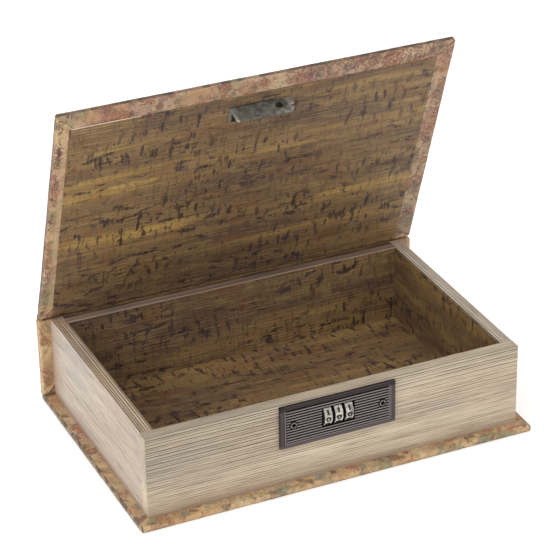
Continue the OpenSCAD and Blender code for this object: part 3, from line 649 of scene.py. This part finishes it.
def ring_points(x0, x1, y0, y1, r, inset, arc=6):
    """Rounded rectangle inset from its outline: each point, its place on the outline and its way out."""
    out = []
    q = max(r - inset, 0.02)
    inner = max(inset, 0.0)
    spread = [0, 0.3, 0.7, 1.2, 1.9, 2.9, 4.4, 6.6, 10, 15, 22]
    cx = [x1 - r, x1 - r, x0 + r, x0 + r]
    cy = [y0 + r, y1 - r, y1 - r, y0 + r]
    length = [x1 - x0 - 2 * r, y1 - y0 - 2 * r, x1 - x0 - 2 * r, y1 - y0 - 2 * r]
    tang = [(1, 0), (0, 1), (-1, 0), (0, -1)]
    norm = [(0, -1), (1, 0), (0, 1), (-1, 0)]
    start = [(x0 + r, y0), (x1, y0 + r), (x1 - r, y1), (x0, y1 - r)]
    for k in range(4):
        n_mid = max(2, int((length[k] - 44) / 8))
        middle = [22 + (length[k] - 44) * i / n_mid for i in range(1, n_mid)]
        stops = spread + middle + [length[k] - s for s in reversed(spread)]
        cut = max(inset - r, 0.0)
        for s in stops:
            bx, by = start[k][0] + tang[k][0] * s, start[k][1] + tang[k][1] * s
            s_in = min(max(s, cut), length[k] - cut)
            px = start[k][0] + tang[k][0] * s_in - norm[k][0] * inner
            py = start[k][1] + tang[k][1] * s_in - norm[k][1] * inner
            out.append((px, py, bx, by, norm[k][0], norm[k][1], min(s, length[k] - s)))
        for i in range(1, arc):
            a = math.radians(-90 + 90 * k + 90 * i / arc)
            ux, uy = math.cos(a), math.sin(a)
            c = max(inset - r, 0.0)
            sx, sy = (1 if cx[k] > (x0 + x1) / 2 else -1), (1 if cy[k] > (y0 + y1) / 2 else -1)
            px = cx[k] - sx * c + ux * q
            py = cy[k] - sy * c + uy * q
            out.append((px, py, cx[k] + ux * r, cy[k] + uy * r, ux, uy, 0.0))
    return out


def slab_wrap(name, x0, x1, y0, y1, z_face, z_back, r, turn, soft, matrix, seed, material,
              fill_steps=(5.0, 14.0)):
    """One cloth glued round a board: flat outer face at z_face, rounded edges, a turn-in at z_back."""
    up = 1.0 if z_face > z_back else -1.0
    t = abs(z_face - z_back)
    prof = [(inset, z_back) for inset in (turn, turn * 0.72, turn * 0.42, soft + 1.0)]
    for i in range(5):
        a = math.radians(90 * i / 4)
        prof.append((soft - soft * math.sin(a), z_back + up * (soft - soft * math.cos(a))))
    prof.append((0.0, (z_face + z_back) / 2))
    for i in range(5):
        a = math.radians(90 * i / 4)
        prof.append((soft - soft * math.cos(a), z_face - up * (soft - soft * math.sin(a))))
    prof += [(s, z_face) for s in (soft + 1.5, *fill_steps)]
    face_start = len(prof) - len(fill_steps) - 2
    rnd = random.Random(seed)
    ph = [rnd.uniform(0, 6.28) for _ in range(6)]
    bm = bmesh.new()
    rings, places = [], []
    arc_len = [0.0]
    for a, b in zip(prof, prof[1:]):
        arc_len.append(arc_len[-1] + math.hypot(b[0] - a[0], b[1] - a[1]))
    edge_at = arc_len[face_start]
    for k, (inset, z) in enumerate(prof):
        ring, place = [], []
        for (px, py, bx, by, nx, ny, near) in ring_points(x0, x1, y0, y1, r, inset):
            dx = dy = dz = 0.0
            w = (math.sin(bx * 0.11 + ph[0]) + 0.6 * math.sin(bx * 0.29 + by * 0.21 + ph[1])
                 + math.sin(by * 0.13 + ph[2]))
            if k == 0:
                dx, dy = nx * 0.18 * w, ny * 0.18 * w
            if k <= 3:  # the mitred overlap of the turned-in corners
                corner = min(abs(px - x0), abs(px - x1)) - min(abs(py - y0), abs(py - y1))
                if max(min(abs(px - x0), abs(px - x1)), min(abs(py - y0), abs(py - y1))) < turn + 2:
                    dz = -up * 0.22 * math.exp(-((corner - 0.5) / 0.9) ** 2)
            if k >= 4:
                g = 0.06 * w
                dx, dy = dx + nx * g, dy + ny * g
            ring.append(bm.verts.new((px + dx, py + dy, z + dz)))
            far = edge_at - arc_len[k]
            place.append((bx + nx * far, by + ny * far) if k < face_start else (px, py))
        rings.append(ring)
        places.append(place)
    uv = bm.loops.layers.uv.new("cloth")
    n = len(rings[0])

    def lay(face, at):
        for loop, (pu, pv) in zip(face.loops, at):
            loop[uv].uv = (pu * MM, pv * MM)

    for k in range(len(rings) - 1):
        for i in range(n):
            j = (i + 1) % n
            f = bm.faces.new((rings[k][i], rings[k][j], rings[k + 1][j], rings[k + 1][i]))
            lay(f, (places[k][i], places[k][j], places[k + 1][j], places[k + 1][i]))
    f = bm.faces.new(rings[-1])
    lay(f, places[-1])
    return new_object(name, bm, material, matrix)


# ---------------------------------------------------------------- cloth on the cover boards
BOTTOM_TURN, LID_TURN, SPINE_TURN = 16.0, 14.0, 9.0  # how far each cloth is turned in
WRAP_R, WRAP_SOFT = 1.4, 1.1  # corner radius and edge rounding
LID_WRAP_REAR = LID_REAR + 0.35
SPINE_WRAP_X, SPINE_WRAP_OUT = COVER_X + 0.4, SPINE_OUT + 0.5

bottom_wrap = slab_wrap("bottom_wrap", -COVER_X, COVER_X, FRONT_Y, SPINE_OUT, 0.0, Z0, WRAP_R,
                        BOTTOM_TURN, WRAP_SOFT, None, 3, cloth_base)
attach(bottom_wrap, "box")
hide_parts("bottom_cloth")

lid_wrap = slab_wrap("lid_wrap", -COVER_X, COVER_X, FRONT_Y, LID_WRAP_REAR, LID_OUT, LID_IN, WRAP_R,
                     LID_TURN, WRAP_SOFT, TO_OPEN, 5, cloth)
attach(lid_wrap, "lid")
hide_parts("lid_cloth")

# the spine lies in XZ: local y is up, local z is to the back
SPINE_M = Matrix(((1, 0, 0, 0), (0, 0, 1, 0), (0, 1, 0, 0), (0, 0, 0, 1)))
spine_wrap = slab_wrap("spine_wrap", -SPINE_WRAP_X, SPINE_WRAP_X, Z0, SPINE_TOP, SPINE_WRAP_OUT,
                       SPINE_IN, 1.2, SPINE_TURN, WRAP_SOFT, SPINE_M, 8, cloth_spine)
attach(spine_wrap, "box")
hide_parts("spine_cloth")


def turned(y, z):
    """A point of the closed lid, turned with the lid to its rest angle."""
    v = TO_OPEN @ Vector((0, y, z))
    return v.y, v.z


def joint_strip():
    lid_a = turned(LID_REAR - 9.0, LID_OUT + 0.2)
    lid_b = turned(LID_REAR - 1.2, LID_OUT + 0.2)
    ctrl = [(SPINE_OUT + 0.7, Z0 + 38.0), (SPINE_OUT + 0.75, Z0 + 44.0), (SPINE_OUT + 1.0, Z0 + 48.5),
            (SPINE_OUT + 1.4, Z0 + 51.6), (SPINE_OUT + 1.1, Z0 + 54.2), (SPINE_OUT - 0.1, Z0 + 56.0),
            (lid_b[0] + 0.7, lid_b[1] - 1.0), lid_b, lid_a]
    pts = []
    for i in range(len(ctrl) - 1):
        p = [ctrl[max(0, min(len(ctrl) - 1, i + d))] for d in (-1, 0, 1, 2)]
        for s in range(5):
            t = s / 5
            c = [0.5 * (2 * p[1][k] + (p[2][k] - p[0][k]) * t
                        + (2 * p[0][k] - 5 * p[1][k] + 4 * p[2][k] - p[3][k]) * t * t
                        + (3 * p[1][k] - p[0][k] - 3 * p[2][k] + p[3][k]) * t ** 3) for k in (0, 1)]
            pts.append(tuple(c))
    pts.append(ctrl[-1])
    half = COVER_X - 0.3
    cols = 130
    run = [0.0]
    for a, b in zip(pts, pts[1:]):
        run.append(run[-1] + math.dist(a, b))
    bm = bmesh.new()
    uv = bm.loops.layers.uv.new("cloth")
    rows = []
    for j, (y, z) in enumerate(pts):
        s = run[j] / run[-1]
        crease = math.sin(math.pi * min(1, max(0, (s - 0.1) / 0.75)))
        pull = 0.7 * math.exp(-((s - 0.58) / 0.16) ** 2)
        row = []
        for i in range(cols + 1):
            x = -half + 2 * half * i / cols
            x2 = x * (half - pull) / half
            w = (0.16 * math.sin(x * 0.21 + 2.0 * s * 3) + 0.10 * math.sin(x * 0.53 + 1.3)
                 + 0.08 * math.sin(x * 0.083 + 4 * s))
            row.append(bm.verts.new((x2, y + w * crease, z + 0.12 * w * crease)))
        rows.append(row)
    for j in range(len(rows) - 1):
        for i in range(cols):
            f = bm.faces.new((rows[j][i], rows[j][i + 1], rows[j + 1][i + 1], rows[j + 1][i]))
            for loop, (a, b) in zip(f.loops, ((i, j), (i + 1, j), (i + 1, j + 1), (i, j + 1))):
                loop[uv].uv = ((-half + 2 * half * a / cols) * MM, (run[b] + 61.0) * MM)
    o = new_object("joint_strip", bm, cloth_spine)
    o.data.materials.append(lit_lining_joint)
    thicken(o, 0.35, 0.0).modifiers["thickness"].material_offset = 1
    return o, run[-1], 2 * half, lid_b


strip, strip_len, strip_w, lid_edge = joint_strip()
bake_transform(strip)
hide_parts("hinge_cloth")


# ---------------------------------------------------------------- paper strips on the joint and the lid
def paper_strip(name, path, half, material, matrix=None, thick=0.15, ragged=0.0, uv_from=0.0):
    """A strip of paper along X, glued down along a path of (y, z) points; its first edge can be uneven."""
    bm = bmesh.new()
    uv = bm.loops.layers.uv.new("cloth")
    cols = int(half / 1.2)
    run = [0.0]
    for a, b in zip(path, path[1:]):
        run.append(run[-1] + math.dist(a, b))
    rows = []
    for j, (y, z) in enumerate(path):
        row = []
        for i in range(cols + 1):
            x = -half + 2 * half * i / cols
            torn = 0.0
            if j == 0:
                torn = ragged * (math.sin(x * 0.13) + 0.6 * math.sin(x * 0.41 + 2)
                                 + 0.5 * math.sin(x * 0.071 + 1))
            row.append(bm.verts.new((x, y + torn, z)))
        rows.append(row)
    for j in range(len(rows) - 1):
        for i in range(cols):
            f = bm.faces.new((rows[j][i], rows[j][i + 1], rows[j + 1][i + 1], rows[j + 1][i]))
            for loop, (a, b) in zip(f.loops, ((i, j), (i + 1, j), (i + 1, j + 1), (i, j + 1))):
                loop[uv].uv = ((-half + 2 * half * a / cols) * MM, (uv_from + run[b]) * MM)
    return thicken(new_object(name, bm, material, matrix, smooth=False), thick, 1.0)


joint_path = [(SPINE_IN + 0.3, SPINE_TOP + 0.03), (SPINE_OUT - 1.2, SPINE_TOP + 0.03)]
spine_paper = paper_strip("spine_paper", joint_path, 124.5, lit_lining_joint, thick=0.50, ragged=0.08)
raised_path = [(Y0 + 2.70, LID_IN - 0.34), (Y0 + 3.35, LID_IN - 0.34)]
lining_edge = paper_strip("lining_edge", raised_path, 21.5, paper_core,
                          TO_OPEN @ Matrix.Translation((-96.5, 0, 0)), thick=0.12)
for piece, body in ((spine_paper, "box"), (lining_edge, "lid")):
    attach(piece, body)


# ---------------------------------------------------------------- numbers on the dials
NUMERAL_SIZE, NUMERAL_STRETCH = 4.1, 1.55  # font size, and how much wider it is drawn
NUMERAL_WEIGHT, NUMERAL_RAISED = 0.20, 0.05
NUMERAL_TURN = -6.0  # degrees that each numeral sits off the face's middle


def dial_numbers(node, x_mid):
    """Ten generic numerals, laid on the drum as thin raised shapes."""
    bm = bmesh.new()
    for digit in range(10):
        cu = bpy.data.curves.new("numeral", "FONT")
        cu.body = str(digit)
        cu.size = NUMERAL_SIZE
        cu.align_x, cu.align_y = "CENTER", "CENTER"
        cu.extrude = NUMERAL_RAISED
        cu.offset = NUMERAL_WEIGHT
        tmp = bpy.data.objects.new("numeral", cu)
        scene.collection.objects.link(tmp)
        me = tmp.to_mesh()
        part = bmesh.new()
        part.from_mesh(me)
        tmp.to_mesh_clear()
        bpy.data.objects.remove(tmp)
        bpy.data.curves.remove(cu)
        ys = [v.co.y for v in part.verts]
        xs = [v.co.x for v in part.verts]
        mid_y, mid_x = (max(ys) + min(ys)) / 2, (max(xs) + min(xs)) / 2
        for k in range(-4, 5):
            geom = part.verts[:] + part.edges[:] + part.faces[:]
            bmesh.ops.bisect_plane(part, geom=geom, plane_co=(0, mid_y + k * 0.4, 0), plane_no=(0, 1, 0))
        for v in part.verts:
            a = (v.co.y - mid_y) / DIAL_RADIUS + math.radians(36 * digit + NUMERAL_TURN)
            rr = DIAL_RADIUS + 0.02 + (v.co.z + NUMERAL_RAISED)
            x = x_mid + NUMERAL_STRETCH * (v.co.x - mid_x)
            v.co = Vector((x, DIAL_Y - rr * math.cos(a), DIAL_Z + rr * math.sin(a)))
        keep = bpy.data.meshes.new("part")
        part.to_mesh(keep)
        part.free()
        bm.from_mesh(keep)
        bpy.data.meshes.remove(keep)
    return new_object("numbers_" + node, bm, ink, smooth=False)


for side, x_mid in (("left", -DIAL_PITCH), ("middle", 0.0), ("right", DIAL_PITCH)):
    o = dial_numbers("dial_" + side, x_mid)
    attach(o, f"dial_{side}_set")

# ---------------------------------------------------------------- stage, light and camera
bm = bmesh.new()
bmesh.ops.create_grid(bm, x_segments=2, y_segments=2, size=3000.0)
floor = new_object("studio_floor", bm, floor_material(), Matrix.Translation((0, 0, -0.02)))

world = bpy.data.worlds.new("soft_studio")
scene.world = world
world.use_nodes = True
bg = next(n for n in world.node_tree.nodes if n.type == "BACKGROUND")
bg.inputs["Color"].default_value = (1.0, 1.0, 1.0, 1.0)
bg.inputs["Strength"].default_value = 1.0


def area_light(name, at, target, size, watts):
    data = bpy.data.lights.new(name, "AREA")
    data.shape = "RECTANGLE"
    data.size, data.size_y = size
    data.energy = watts
    o = bpy.data.objects.new(name, data)
    o.location = at
    o.rotation_euler = (Vector(target) - Vector(at)).to_track_quat("-Z", "Y").to_euler()
    scene.collection.objects.link(o)
    return o


area_light("key", (-1.35, -0.35, 0.95), (0, 0, 0.06), (0.7, 0.7), 8.0)

cam_data = bpy.data.cameras.new("photo_view")
cam_data.lens = 159.84
cam_data.sensor_width = 36.0
cam_data.clip_end = 50.0
cam = bpy.data.objects.new("photo_view", cam_data)
scene.collection.objects.link(cam)
# where a camera fitted to the box's corners stands
eye = Vector((-537.3, -1115.1 + Y0, 792.6 + Z0)) * MM
forward = Vector((0.3617, 0.8030, -0.4736)).normalized()
right = Vector((0.9115, -0.4109, -0.0187)).normalized()
right = (right - forward * right.dot(forward)).normalized()
upward = right.cross(forward)
cam.matrix_world = Matrix.Translation(eye) @ Matrix((right, upward, -forward)).transposed().to_4x4()
scene.camera = cam
